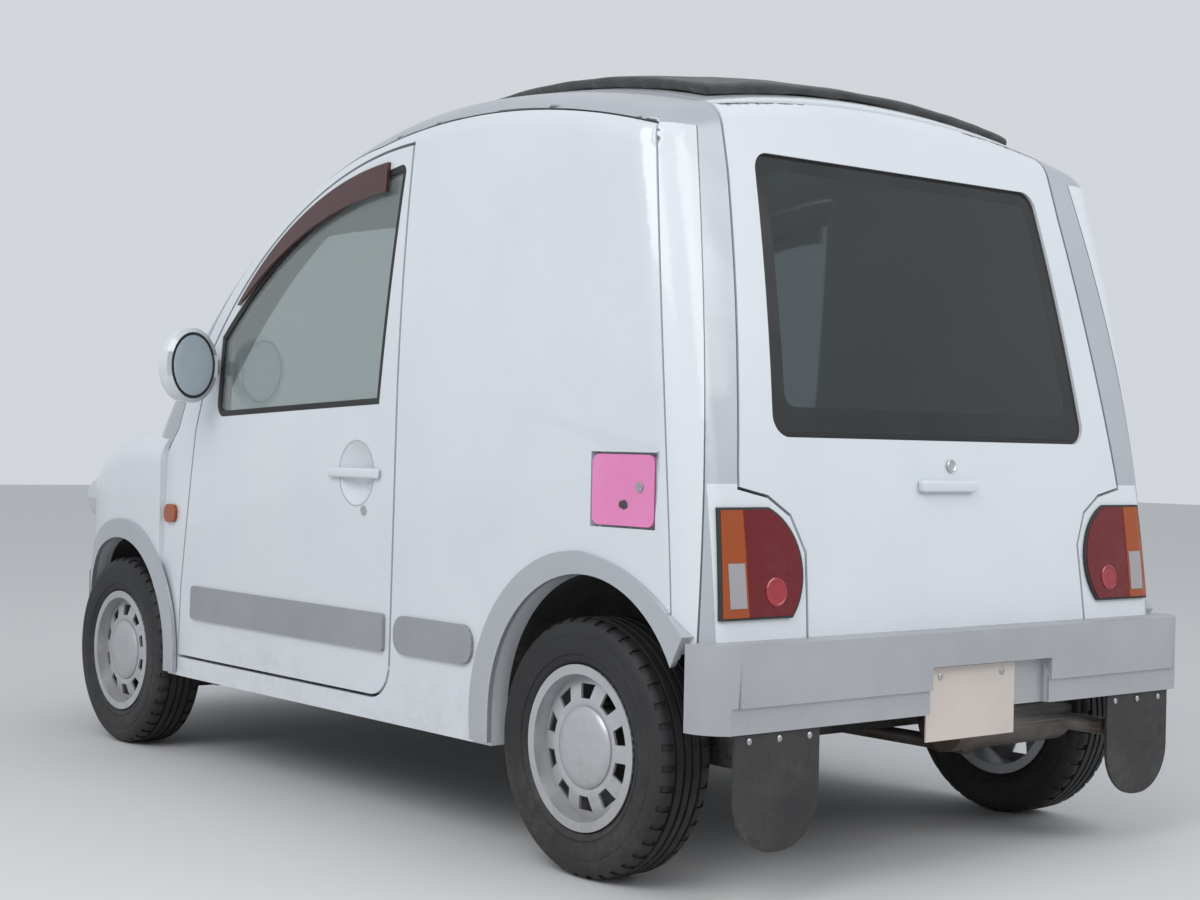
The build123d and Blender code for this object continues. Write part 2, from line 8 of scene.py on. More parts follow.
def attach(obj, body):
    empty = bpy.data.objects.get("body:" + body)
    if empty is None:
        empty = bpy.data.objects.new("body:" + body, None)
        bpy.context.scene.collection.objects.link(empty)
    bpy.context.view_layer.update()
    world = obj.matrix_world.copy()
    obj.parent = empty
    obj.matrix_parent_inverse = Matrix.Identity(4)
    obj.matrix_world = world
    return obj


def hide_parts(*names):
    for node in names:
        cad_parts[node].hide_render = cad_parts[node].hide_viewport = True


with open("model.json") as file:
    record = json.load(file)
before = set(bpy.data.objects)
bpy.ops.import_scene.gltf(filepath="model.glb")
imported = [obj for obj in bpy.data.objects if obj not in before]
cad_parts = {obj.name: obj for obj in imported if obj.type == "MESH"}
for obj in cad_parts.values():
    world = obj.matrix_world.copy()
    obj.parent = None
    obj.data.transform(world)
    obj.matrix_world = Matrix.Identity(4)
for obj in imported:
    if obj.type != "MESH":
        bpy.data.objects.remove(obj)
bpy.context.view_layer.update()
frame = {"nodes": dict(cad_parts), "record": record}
nodes = frame["nodes"]

# Metres: +X to the front, +Y to the left, +Z up
both_sides = (("left", 1), ("right", -1))

# Camera where the photograph was taken from
camera_spot = (-4.546, 3.394, 0.9395)
yaw, pitch, roll = radians(-39.2006), radians(-0.1341), radians(1.1435)
focal_length, sensor_width = 58.17, 36.0

camera_data = bpy.data.cameras.new("photo_camera")
camera_data.lens = focal_length
camera_data.sensor_width = sensor_width
camera = bpy.data.objects.new("photo_camera", camera_data)
bpy.context.collection.objects.link(camera)
forward = Vector((cos(yaw) * cos(pitch), sin(yaw) * cos(pitch), sin(pitch)))
level_right = Vector((sin(yaw), -cos(yaw), 0.0))
level_up = level_right.cross(forward)
right = cos(roll) * level_right + sin(roll) * level_up
up = -sin(roll) * level_right + cos(roll) * level_up
turn = Matrix((right, up, -forward)).transposed()
camera.matrix_world = Matrix.Translation(camera_spot) @ turn.to_4x4()
bpy.context.scene.camera = camera
bpy.context.scene.view_settings.view_transform = "Standard"


# Node helpers
def effect(name, inputs, outputs):
    """A new node group with its entry and its exit."""
    tree = bpy.data.node_groups.new(name, "ShaderNodeTree")
    for label, kind, value in inputs:
        socket = tree.interface.new_socket(name=label, in_out="INPUT", socket_type=kind)
        if value is not None:
            socket.default_value = value
    for label, kind in outputs:
        tree.interface.new_socket(name=label, in_out="OUTPUT", socket_type=kind)
    return tree, tree.nodes.new("NodeGroupInput"), tree.nodes.new("NodeGroupOutput")


def axes_of(tree, entry):
    """X, Y and Z of the Place that a group is given."""
    axes = tree.nodes.new("ShaderNodeSeparateXYZ")
    tree.links.new(entry.outputs["Place"], axes.inputs[0])
    return axes.outputs["X"], axes.outputs["Y"], axes.outputs["Z"]


def noise_in(tree, vector, scale, detail=4.0, rough=0.55):
    noise = tree.nodes.new("ShaderNodeTexNoise")
    noise.inputs["Detail"].default_value = detail
    noise.inputs["Roughness"].default_value = rough
    tree.links.new(vector, noise.inputs["Vector"])
    if isinstance(scale, (int, float)):
        noise.inputs["Scale"].default_value = scale
    else:
        tree.links.new(scale, noise.inputs["Scale"])
    return noise.outputs["Fac"]


def ramp_in(tree, value, low, high, out_low=0.0, out_high=1.0):
    """A soft step from out_low to out_high, between low and high."""
    node = tree.nodes.new("ShaderNodeMapRange")
    node.interpolation_type = "SMOOTHSTEP"
    ends = (("From Min", low), ("From Max", high), ("To Min", out_low), ("To Max", out_high))
    for label, number in ends:
        node.inputs[label].default_value = number
    tree.links.new(value, node.inputs["Value"])
    return node.outputs["Result"]


def math_in(tree, kind, first, second=0.0):
    node = tree.nodes.new("ShaderNodeMath")
    node.operation = kind
    for number, value in enumerate((first, second)):
        if isinstance(value, (int, float)):
            node.inputs[number].default_value = value
        else:
            tree.links.new(value, node.inputs[number])
    return node.outputs[0]


def product_in(tree, product, *others):
    for other in others:
        product = math_in(tree, "MULTIPLY", product, other)
    return product


def tint_in(tree, base, over, mask):
    """The base colour with another colour over it where the mask is 1."""
    node = tree.nodes.new("ShaderNodeMix")
    node.data_type = "RGBA"
    for label, value in (("A", base), ("B", over)):
        socket = [s for s in node.inputs if s.name == label and s.type == "RGBA"][0]
        if isinstance(value, tuple):
            socket.default_value = value
        else:
            tree.links.new(value, socket)
    tree.links.new(mask, node.inputs["Factor"])
    return [s for s in node.outputs if s.type == "RGBA"][0]


# Shared effects
place_input = ("Place", "NodeSocketVector", None)

# Road film: thickest low on the van, with soft blotches
road_film, entry, leave = effect(
    "road_film",
    [place_input, ("Amount", "NodeSocketFloat", 0.5), ("Reach", "NodeSocketFloat", 0.7)],
    [("Mask", "NodeSocketFloat")],
)
where = entry.outputs["Place"]
height = math_in(road_film, "DIVIDE", axes_of(road_film, entry)[2], entry.outputs["Reach"])
low_part = ramp_in(road_film, height, 0.15, 1.0, out_low=1.0, out_high=0.0)
wide_noise = noise_in(road_film, where, 6.0, detail=6.0, rough=0.65)
fine_noise = noise_in(road_film, where, 45.0, detail=5.0, rough=0.7)
blotches = product_in(
    road_film, ramp_in(road_film, wide_noise, 0.3, 0.75), ramp_in(road_film, fine_noise, 0.25, 0.8)
)
film = product_in(road_film, low_part, blotches, entry.outputs["Amount"])
road_film.links.new(film, leave.inputs["Mask"])

# Fine grain or orange peel as a height for a Bump, and wide patches
skin_grain, entry, leave = effect(
    "skin_grain",
    [place_input, ("Scale", "NodeSocketFloat", 200.0)],
    [("Height", "NodeSocketFloat"), ("Patches", "NodeSocketFloat")],
)
where = entry.outputs["Place"]
grain = noise_in(skin_grain, where, entry.outputs["Scale"], detail=3.0, rough=0.5)
skin_grain.links.new(grain, leave.inputs["Height"])
patches = noise_in(skin_grain, where, 3.5, detail=5.0, rough=0.6)
skin_grain.links.new(patches, leave.inputs["Patches"])

# Cloth weave as a height for a Bump, with a mask for its worn patches
cloth_weave, entry, leave = effect(
    "cloth_weave",
    [place_input, ("Threads", "NodeSocketFloat", 900.0)],
    [("Height", "NodeSocketFloat"), ("Shade", "NodeSocketFloat")],
)
where = entry.outputs["Place"]
waves = []
for way in ("X", "Y"):
    wave = cloth_weave.nodes.new("ShaderNodeTexWave")
    wave.bands_direction = way
    wave.inputs["Distortion"].default_value = 0.6
    wave.inputs["Detail"].default_value = 1.0
    cloth_weave.links.new(where, wave.inputs["Vector"])
    cloth_weave.links.new(entry.outputs["Threads"], wave.inputs["Scale"])
    waves.append(wave.outputs["Fac"])
cloth_weave.links.new(product_in(cloth_weave, *waves), leave.inputs["Height"])
worn = ramp_in(cloth_weave, noise_in(cloth_weave, where, 12.0), 0.3, 0.7)
cloth_weave.links.new(worn, leave.inputs["Shade"])


# Materials
def start_material(name):
    material = bpy.data.materials.new(name)
    material.use_nodes = True
    tree = material.node_tree
    place = tree.nodes.new("ShaderNodeTexCoord").outputs["Object"]
    return material, tree, tree.nodes["Principled BSDF"], place


def reopen(material):
    tree = material.node_tree
    place = [node for node in tree.nodes if node.type == "TEX_COORD"][0].outputs["Object"]
    return tree, tree.nodes["Principled BSDF"], place


def use(tree, group, place, **values):
    node = tree.nodes.new("ShaderNodeGroup")
    node.node_tree = group
    tree.links.new(place, node.inputs["Place"])
    for label, value in values.items():
        node.inputs[label].default_value = value
    return node


def bump(tree, shader, height, strength, distance):
    node = tree.nodes.new("ShaderNodeBump")
    node.inputs["Strength"].default_value = strength
    node.inputs["Distance"].default_value = distance
    tree.links.new(height, node.inputs["Height"])
    tree.links.new(node.outputs["Normal"], shader.inputs["Normal"])


white = (0.66, 0.69, 0.72, 1)
dust_colour = (0.30, 0.27, 0.23, 1.0)
dusty_roughness = 0.4
coat_roughness = 0.06
grain_strength, weave_strength = 0.35, 0.5
glass_ior, glass_dust, glass_reach, glass_rough_spread = 1.45, 0.12, 1.9, 0.03
silver_metal = 0.35


def finish_of(
    name, colour, variant, rough, metal=0.0, coat=0.0, dust=0.4, reach=0.7, grain=250.0,
    depth=0.0004, spread=0.08,
):
    """Paint, plastic, rubber or metal: two close colours in patches, with road film over them."""
    material, tree, shader, place = start_material(name)
    shader.inputs["Metallic"].default_value = metal
    shader.inputs["Coat Weight"].default_value = coat
    shader.inputs["Coat Roughness"].default_value = coat_roughness
    texture = use(tree, skin_grain, place, Scale=grain)
    patches = texture.outputs["Patches"]
    film = use(tree, road_film, place, Amount=dust, Reach=reach).outputs["Mask"]
    mottled = tint_in(tree, colour, variant, ramp_in(tree, patches, 0.35, 0.7))
    tree.links.new(tint_in(tree, mottled, dust_colour, film), shader.inputs["Base Color"])
    clean = ramp_in(tree, patches, 0.3, 0.7, rough - spread / 2, rough + spread / 2)
    dusty = math_in(tree, "ADD", clean, math_in(tree, "MULTIPLY", film, dusty_roughness))
    tree.links.new(dusty, shader.inputs["Roughness"])
    bump(tree, shader, texture.outputs["Height"], grain_strength, depth)
    return material


def glass_of(name, colour, rough=0.02, clear=0.85):
    material, tree, shader, place = start_material(name)
    shader.inputs["Metallic"].default_value = 0.0
    shader.inputs["Transmission Weight"].default_value = clear
    shader.inputs["IOR"].default_value = glass_ior
    patches = use(tree, skin_grain, place, Scale=6.0).outputs["Patches"]
    film = use(tree, road_film, place, Amount=glass_dust, Reach=glass_reach).outputs["Mask"]
    tree.links.new(tint_in(tree, colour, dust_colour, film), shader.inputs["Base Color"])
    roughness = ramp_in(tree, patches, 0.3, 0.7, rough, rough + glass_rough_spread)
    tree.links.new(roughness, shader.inputs["Roughness"])
    return material


def cloth_of(name, dark, pale, threads, sheen, rough, depth):
    material, tree, shader, place = start_material(name)
    shader.inputs["Sheen Weight"].default_value = sheen
    shader.inputs["Roughness"].default_value = rough
    weave = use(tree, cloth_weave, place, Threads=threads)
    tree.links.new(tint_in(tree, dark, pale, weave.outputs["Shade"]), shader.inputs["Base Color"])
    bump(tree, shader, weave.outputs["Height"], weave_strength, depth)
    return material


looks = {
    "white": finish_of(
        "white_paint", white, (0.63, 0.665, 0.70, 1), 0.20, coat=0.6, dust=0.55, reach=0.62),
    "silver": finish_of(
        "silver_paint", (0.47, 0.49, 0.52, 1), (0.43, 0.45, 0.48, 1), 0.34,
        metal=silver_metal, coat=0.4, dust=0.5, grain=900.0),
    "bumper": finish_of(
        "bumper_silver", (0.42, 0.43, 0.45, 1), (0.38, 0.39, 0.41, 1), 0.42,
        metal=0.25, dust=0.6, grain=700.0),
    "moulding": finish_of(
        "moulding_silver", (0.33, 0.34, 0.36, 1), (0.29, 0.30, 0.32, 1), 0.45,
        metal=0.2, dust=0.5, grain=800.0),
    "rubber": finish_of(
        "window_rubber", (0.016, 0.016, 0.017, 1), (0.03, 0.03, 0.03, 1), 0.6,
        dust=0.2, grain=500.0),
    "black": finish_of(
        "black_plastic", (0.02, 0.02, 0.021, 1), (0.035, 0.035, 0.035, 1), 0.5,
        grain=600.0, depth=0.001),
    "under": finish_of(
        "underbody_coat", (0.014, 0.014, 0.015, 1), (0.035, 0.033, 0.031, 1), 0.75,
        dust=0.45, reach=0.9, grain=120.0, depth=0.002),
    "tyre": finish_of(
        "tyre_rubber", (0.011, 0.011, 0.012, 1), (0.020, 0.020, 0.021, 1), 0.62,
        dust=0.16, reach=0.6, grain=350.0, depth=0.001),
    "rim": finish_of(
        "wheel_silver", (0.50, 0.51, 0.53, 1), (0.42, 0.42, 0.43, 1), 0.35,
        metal=0.45, dust=0.55, reach=0.6, grain=500.0),
    "steel": finish_of(
        "exhaust_steel", (0.22, 0.21, 0.20, 1), (0.12, 0.08, 0.06, 1), 0.5,
        metal=0.8, dust=0.7, grain=150.0, depth=0.001),
    "engine": finish_of(
        "engine_casting", (0.10, 0.10, 0.10, 1), (0.06, 0.055, 0.05, 1), 0.65,
        metal=0.5, dust=0.6, grain=180.0, depth=0.002),
    "trim": finish_of(
        "cabin_plastic", (0.14, 0.14, 0.15, 1), (0.11, 0.11, 0.12, 1), 0.6,
        dust=0.1, grain=700.0, depth=0.001),
    "plate": finish_of(
        "bare_plate", (0.62, 0.55, 0.50, 1), (0.58, 0.52, 0.48, 1), 0.4, dust=0.2),
    "flap": finish_of(
        "pink_paint", (0.78, 0.24, 0.50, 1), (0.72, 0.20, 0.45, 1), 0.25, coat=0.6, dust=0.3),
    "tint": glass_of("tinted_glass", (0.16, 0.19, 0.20, 1), clear=0.9),
    "visor": glass_of("smoked_visor", (0.16, 0.07, 0.07, 1), rough=0.08, clear=0.6),
    "lamp": glass_of("red_lens", (0.17, 0.003, 0.007, 1), rough=0.06, clear=0.2),
    "amber": glass_of("amber_lens", (0.40, 0.075, 0.008, 1), rough=0.06, clear=0.2),
    "head": glass_of("clear_lens", (0.62, 0.64, 0.67, 1), clear=0.5),
    "headlamp": finish_of(
        "headlamp_lens", (0.60, 0.63, 0.66, 1), (0.50, 0.53, 0.56, 1), 0.14,
        metal=0.35, coat=1.0, dust=0.1, grain=60.0, depth=0.0006),
    "side_glass": glass_of("side_glass", (0.66, 0.72, 0.71, 1)),
    "border": finish_of(
        "glass_border", (0.012, 0.012, 0.013, 1), (0.02, 0.02, 0.02, 1), 0.12,
        dust=0.1, grain=300.0, depth=0.0001),
    "mirror": finish_of(
        "mirror_silver", (0.62, 0.70, 0.76, 1), (0.52, 0.60, 0.66, 1), 0.16,
        metal=0.45, dust=0.0, depth=0.00002, spread=0.02),
    "lock": finish_of(
        "lock_steel", (0.55, 0.55, 0.56, 1), (0.42, 0.42, 0.43, 1), 0.28,
        metal=0.9, dust=0.2, grain=900.0),
    "reflector": finish_of(
        "reflector_red", (0.28, 0.004, 0.012, 1), (0.34, 0.008, 0.016, 1), 0.25,
        coat=0.6, dust=0.05),
    "canvas": cloth_of(
        "canvas_cloth", (0.012, 0.012, 0.014, 1), (0.03, 0.03, 0.032, 1),
        threads=500.0, sheen=0.3, rough=0.8, depth=0.0008),
    "seat": cloth_of(
        "seat_cloth", (0.13, 0.14, 0.16, 1), (0.18, 0.19, 0.21, 1),
        threads=420.0, sheen=0.4, rough=0.85, depth=0.001),
}

# Corner bands: silver, with white paint round the tail lamps and behind a groove at the corner,
# and a thin dark line painted along that groove as painted shade
lamp_reach_y, lamp_top_z, lamp_front_x = 0.7275, 0.866, -1.55
corner_front_x, corner_top_z = -1.40, 1.625
seam_foot_y, seam_foot_z, groove_shade_half_width = 0.757, 0.571, 0.0016
seam_lean, seam_lean_growth = 0.0702, 0.0443
# Colour of the painted shade in the corner groove
groove_shade_colour = (0.10, 0.10, 0.11, 1)

lamp_surround, entry, leave = effect(
    "lamp_surround", [place_input], [("Mask", "NodeSocketFloat"), ("Seam", "NodeSocketFloat")]
)
x, y, z = axes_of(lamp_surround, entry)
out = math_in(lamp_surround, "ABSOLUTE", y)
round_lamp = product_in(
    lamp_surround,
    math_in(lamp_surround, "LESS_THAN", out, lamp_reach_y),
    math_in(lamp_surround, "LESS_THAN", z, lamp_top_z),
    math_in(lamp_surround, "LESS_THAN", x, lamp_front_x),
)
# The groove leans in with height, and more so near the top
rise = math_in(lamp_surround, "SUBTRACT", z, seam_foot_z)
growth = math_in(lamp_surround, "MULTIPLY", rise, seam_lean_growth)
leant_in = product_in(lamp_surround, rise, math_in(lamp_surround, "ADD", growth, seam_lean))
past_seam = math_in(lamp_surround, "ADD", out, leant_in)
past_seam = math_in(lamp_surround, "SUBTRACT", past_seam, seam_foot_y)
corner = product_in(
    lamp_surround,
    math_in(lamp_surround, "LESS_THAN", x, corner_front_x),
    math_in(lamp_surround, "LESS_THAN", z, corner_top_z),
)
corner_white = product_in(
    lamp_surround, math_in(lamp_surround, "GREATER_THAN", past_seam, 0.0), corner
)
off_seam = math_in(lamp_surround, "ABSOLUTE", past_seam)
# A thin line along the groove: painted shade standing in for the shadow in its recess
groove_shade = product_in(
    lamp_surround, math_in(lamp_surround, "LESS_THAN", off_seam, groove_shade_half_width), corner
)
all_white = math_in(lamp_surround, "MAXIMUM", round_lamp, corner_white)
lamp_surround.links.new(all_white, leave.inputs["Mask"])
lamp_surround.links.new(groove_shade, leave.inputs["Seam"])

looks["band"] = looks["silver"].copy()
looks["band"].name = "band_paint"
tree, shader, place = reopen(looks["band"])
surround = use(tree, lamp_surround, place)
mask = surround.outputs["Mask"]
silver_colour = shader.inputs["Base Color"].links[0].from_socket
two_tone = tint_in(tree, silver_colour, white, mask)
# Painted shade: the groove line is darkened in the base colour
groove_shaded = tint_in(tree, two_tone, groove_shade_colour, surround.outputs["Seam"])
tree.links.new(groove_shaded, shader.inputs["Base Color"])
tree.links.new(ramp_in(tree, mask, 0.0, 1.0, silver_metal, 0.0), shader.inputs["Metallic"])

# Fuel flap: the pink paint has a dark ragged chip, ahead of its lock and lower
chip_x, chip_z, chip_half_width, chip_half_height = -1.428, 0.816, 0.022, 0.014
chip_colour = (0.05, 0.03, 0.04, 1)

chip_mark, entry, leave = effect("chip_mark", [place_input], [("Mask", "NodeSocketFloat")])
x, _, z = axes_of(chip_mark, entry)
across = math_in(chip_mark, "SUBTRACT", x, chip_x)
across = math_in(chip_mark, "DIVIDE", across, chip_half_width)
upward = math_in(chip_mark, "SUBTRACT", z, chip_z)
upward = math_in(chip_mark, "DIVIDE", upward, chip_half_height)
far = math_in(
    chip_mark, "ADD",
    product_in(chip_mark, across, across), product_in(chip_mark, upward, upward),
)
edge_noise = noise_in(chip_mark, entry.outputs["Place"], 90.0, detail=5.0, rough=0.7)
ragged = math_in(chip_mark, "ADD", far, edge_noise)
chip = ramp_in(chip_mark, ragged, 0.85, 1.15, out_low=1.0, out_high=0.0)
chip_mark.links.new(chip, leave.inputs["Mask"])

tree, shader, place = reopen(looks["flap"])
mask = use(tree, chip_mark, place).outputs["Mask"]
pink = shader.inputs["Base Color"].links[0].from_socket
tree.links.new(tint_in(tree, pink, chip_colour, mask), shader.inputs["Base Color"])

slot_of = {one["node"]: one["material_slot"] for one in frame["record"]["subparts"]}
body_of = {
    node: body
    for body, names in frame["record"]["behaviour"]["bodies"].items()
    for node in names
}


# Shape helpers
def work_on(piece):
    bpy.ops.object.select_all(action="DESELECT")
    piece.select_set(True)
    bpy.context.view_layer.objects.active = piece


def settle(piece):
    work_on(piece)
    bpy.ops.object.transform_apply(location=True, rotation=True, scale=True)


def finish_with(piece, kind, **values):
    """Add one modifier and apply it."""
    work_on(piece)
    modifier = piece.modifiers.new(kind.lower(), kind)
    for label, value in values.items():
        setattr(modifier, label, value)
    bpy.ops.object.modifier_apply(modifier=modifier.name)


def start_edit(piece):
    work_on(piece)
    bpy.ops.object.mode_set(mode="EDIT")
    bpy.ops.mesh.select_all(action="SELECT")


def end_edit():
    bpy.ops.object.mode_set(mode="OBJECT")


def choose(piece, kind, rule):
    """Edit mode with only those faces or edges selected that the rule takes."""
    work_on(piece)
    bpy.ops.object.mode_set(mode="EDIT")
    bpy.ops.mesh.select_mode(type=kind)
    bpy.ops.mesh.select_all(action="DESELECT")
    form = bmesh.from_edit_mesh(piece.data)
    for element in form.faces if kind == "FACE" else form.edges:
        if rule(element):
            element.select_set(True)
    bmesh.update_edit_mesh(piece.data)


def choose_faces(piece, rule):
    choose(piece, "FACE", lambda face: rule(face.calc_center_median(), face.normal))


def shift(piece, distance):
    start_edit(piece)
    bpy.ops.transform.translate(value=distance)
    end_edit()


def keep_side(piece, point, normal):
    """Cut the piece at a plane and close it, without what lies on the normal's side."""
    start_edit(piece)
    bpy.ops.mesh.bisect(plane_co=point, plane_no=normal, use_fill=True, clear_outer=True)
    end_edit()


def join_flats(piece):
    start_edit(piece)
    bpy.ops.mesh.dissolve_limited(angle_limit=radians(0.3))
    end_edit()


def dress(piece, look, body, angle=28.0):
    """Give a finished piece its look and its body, smooth up to the angle."""
    piece.data.materials.clear()
    piece.data.materials.append(looks[look])
    work_on(piece)
    bpy.ops.object.shade_smooth_by_angle(angle=radians(angle))
    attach(piece, body)


def merged_copy(node, name):
    mesh = nodes[node].data.copy()
    piece = bpy.data.objects.new(name, mesh)
    bpy.context.collection.objects.link(piece)
    form = bmesh.new()
    form.from_mesh(mesh)
    bmesh.ops.remove_doubles(form, verts=form.verts, dist=0.00002)
    form.to_mesh(mesh)
    form.free()
    return piece


def dress_copy(node, look):
    piece = merged_copy(node, node + "_finished")
    if slot_of[node] in ("white", "silver", "bumper", "flap"):
        join_flats(piece)
    dress(piece, look, body_of[node])
    finish_with(piece, "WEIGHTED_NORMAL", keep_sharp=True)
    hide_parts(node)


def own_copy(piece, name):
    twin = piece.copy()
    twin.data = piece.data.copy()
    twin.name = name
    bpy.context.collection.objects.link(twin)
    return twin


def rounded_block(name, low, high, radius, segments, lean=0.0):
    middle = [(a + b) / 2 for a, b in zip(low, high)]
    bpy.ops.mesh.primitive_cube_add(size=1, location=middle, rotation=(0, lean, 0))
    piece = bpy.context.active_object
    piece.name = name
    piece.scale = [b - a for a, b in zip(low, high)]
    settle(piece)
    finish_with(piece, "BEVEL", width=radius, segments=segments, limit_method="NONE")
    return piece


def side_block(name, side, x_ends, y_ends, z_ends, radius, segments):
    """A rounded block given for the left side, and mirrored for the right."""
    y_low, y_high = sorted((side * y_ends[0], side * y_ends[1]))
    low, high = (x_ends[0], y_low, z_ends[0]), (x_ends[1], y_high, z_ends[1])
    return rounded_block(name, low, high, radius, segments)


def stepped_disc(name, centre, normal, radius, depth, steps, stretch=1.0, corners=48):
    """A disc whose face steps in and out by (inset, rise), centre being that of its face."""
    normal = Vector(normal).normalized()
    bpy.ops.mesh.primitive_cylinder_add(
        vertices=corners, radius=radius, depth=depth,
        location=Vector(centre) - normal * depth / 2,
        rotation=normal.to_track_quat("Z", "Y").to_euler(),
    )
    piece = bpy.context.active_object
    piece.name = name
    settle(piece)
    choose_faces(piece, lambda spot, facing: facing.dot(normal) > 0.99)
    for inward, rise in steps:
        bpy.ops.mesh.inset(thickness=inward, depth=rise)
    if stretch != 1.0:
        bpy.ops.mesh.select_all(action="SELECT")
        bpy.ops.transform.resize(value=(1, 1, stretch), center_override=centre)
    end_edit()
    return piece


def turned_ring(name, profile, centre, steps):
    """A closed profile of (radius, offset along Y), drawn point by point and spun about Y."""
    bpy.ops.mesh.primitive_plane_add(size=0.01, location=(0, 0, 0))
    piece = bpy.context.active_object
    piece.name = name
    bpy.ops.object.mode_set(mode="EDIT")
    bpy.ops.mesh.select_mode(type="VERT")
    bpy.ops.mesh.select_all(action="SELECT")
    bpy.ops.mesh.merge(type="CENTER")
    line = [
        Vector((centre[0] + radius, centre[1] + offset, centre[2])) for radius, offset in profile
    ]
    bpy.ops.transform.translate(value=line[0])
    for near, beyond in zip(line, line[1:] + line[:1]):
        bpy.ops.mesh.extrude_vertices_move(TRANSFORM_OT_translate={"value": beyond - near})
    bpy.ops.mesh.select_all(action="SELECT")
    bpy.ops.mesh.spin(steps=steps, angle=2 * pi, center=centre, axis=(0, 1, 0))
    bpy.ops.mesh.select_all(action="SELECT")
    bpy.ops.mesh.remove_doubles(threshold=0.00005)
    bpy.ops.mesh.normals_make_consistent(inside=False)
    end_edit()
    return piece


def screw(name, spot, radius, depth, steps):
    head = stepped_disc(name, spot, (-1, 0, 0), radius, depth, steps, corners=16)
    dress(head, "lock", "body", angle=40)


# Nodes with a form of their own further down. All others keep the solid's shape, and have
# the look of their slot unless own_look gives another
own_form = {
    "door_left", "door_right", "door_handle_left", "door_handle_right", "mirror_left",
    "mirror_right", "tailgate_glass", "tailgate_handle", "tail_lamps", "seats", "canvas_top",
    "mud_flaps", "tyre_front_left", "tyre_front_right", "tyre_rear_left", "tyre_rear_right",
}
own_look = {
    "door_glass_left": "side_glass", "door_glass_right": "side_glass",
    "windscreen": "side_glass", "headlamps": "headlamp", "arch_bands": "band",
}
for node in nodes:
    if node not in own_form:
        dress_copy(node, own_look.get(node, slot_of[node]))

# Doors: the dished finger bowl, the pull bar over it on two feet, and the lock under it
door_face_y = 0.785
bowl_x, bowl_z, bowl_radius, bowl_depth = -0.380, 0.858, 0.081, 0.024
ball_radius = (bowl_radius ** 2 + bowl_depth ** 2) / (2 * bowl_depth)
bar_x, bar_y, bar_z, bar_edge = (-0.494, -0.258), (0.7856, 0.8010), (0.841, 0.876), 0.0072
bar_rear_end_x, bar_front_end_x, bar_taper = -0.484, -0.270, (1, 0.8, 0.72)
bar_middle_x, bar_middle_y, bar_middle_z = -0.377, 0.789, 0.8585
foot_y, foot_z, foot_half_length, foot_edge = (0.7842, 0.790), (0.850, 0.867), 0.012, 0.002
mirror_y, mirror_z = 0.866, 1.140
mirror_faces = (
    # name, look, x, radius, depth, steps, height for its width
    ("mirror_rim_", "black", 0.3488, 0.066, 0.004, ((0.003, 0.0006), (0.003, -0.0012)), 1.40),
    ("mirror_glass_", "mirror", 0.3484, 0.059, 0.003, ((0.002, 0.0004), (0.02, 0.0003)), 1.42),
)
for side_name, side in both_sides:
    door = "door_" + side_name
    body = body_of[door]
    panel = merged_copy(door, door + "_finished")
    bpy.ops.mesh.primitive_uv_sphere_add(
        segments=96, ring_count=64, radius=ball_radius,
        location=(bowl_x, side * (door_face_y - bowl_depth + ball_radius), bowl_z),
    )
    scoop = bpy.context.active_object
    settle(scoop)
    finish_with(panel, "BOOLEAN", operation="DIFFERENCE", solver="EXACT", object=scoop)
    bpy.data.objects.remove(scoop)
    dress(panel, "white", body)
    finish_with(panel, "WEIGHTED_NORMAL", keep_sharp=True)
    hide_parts(door)

    bar = side_block("pull_bar_" + side_name, side, bar_x, bar_y, bar_z, bar_edge, 5)
    choose_faces(
        bar, lambda spot, facing: spot.x < bar_rear_end_x or spot.x > bar_front_end_x
    )
    bpy.ops.transform.resize(
        value=bar_taper, center_override=(bar_middle_x, side * bar_middle_y, bar_middle_z)
    )
    end_edit()
    dress(bar, "white", body, angle=50)
    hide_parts("door_handle_" + side_name)

    # The bowl's edge is a thin open ring
    edge = stepped_disc(
        "bowl_edge_" + side_name, (bowl_x, side * 0.7854, bowl_z), (0, side, 0),
        radius=0.0835, depth=0.0012, steps=((0.0012, 0.0002),), corners=96,
    )
    choose_faces(
        edge, lambda spot, facing: Vector((spot.x - bowl_x, spot.z - bowl_z)).length < 0.01
    )
    bpy.ops.mesh.inset(thickness=0.0016, depth=0.0)
    bpy.ops.mesh.delete(type="FACE")
    end_edit()
    finish_with(edge, "SOLIDIFY", thickness=0.0006, offset=-1)
    dress(edge, "silver", body, angle=30)

    for foot_x in (-0.474, -0.282):
        foot = side_block(
            "pull_foot_%s_%d" % (side_name, int(-foot_x * 1000)), side,
            (foot_x - foot_half_length, foot_x + foot_half_length), foot_y, foot_z, foot_edge, 3,
        )
        dress(foot, "white", body, angle=50)
    lock = stepped_disc(
        "door_lock_" + side_name, (-0.419, side * 0.7885, 0.766), (0, side, 0),
        radius=0.012, depth=0.004, steps=((0.002, 0.0008), (0.003, -0.0006), (0.004, 0.0)),
    )
    dress(lock, "lock", body, angle=35)

    # Mirror: white housing, dark rim and glass facing back
    mirror = "mirror_" + side_name
    housing = merged_copy(mirror, mirror + "_finished")
    dress(housing, "white", body, angle=40)
    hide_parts(mirror)
    for label, look, face_x, radius, depth, steps, stretch in mirror_faces:
        face = stepped_disc(
            label + side_name, (face_x, side * mirror_y, mirror_z), (-1, 0, 0),
            radius, depth, steps, stretch=stretch, corners=72,
        )
        dress(face, look, body, angle=40)

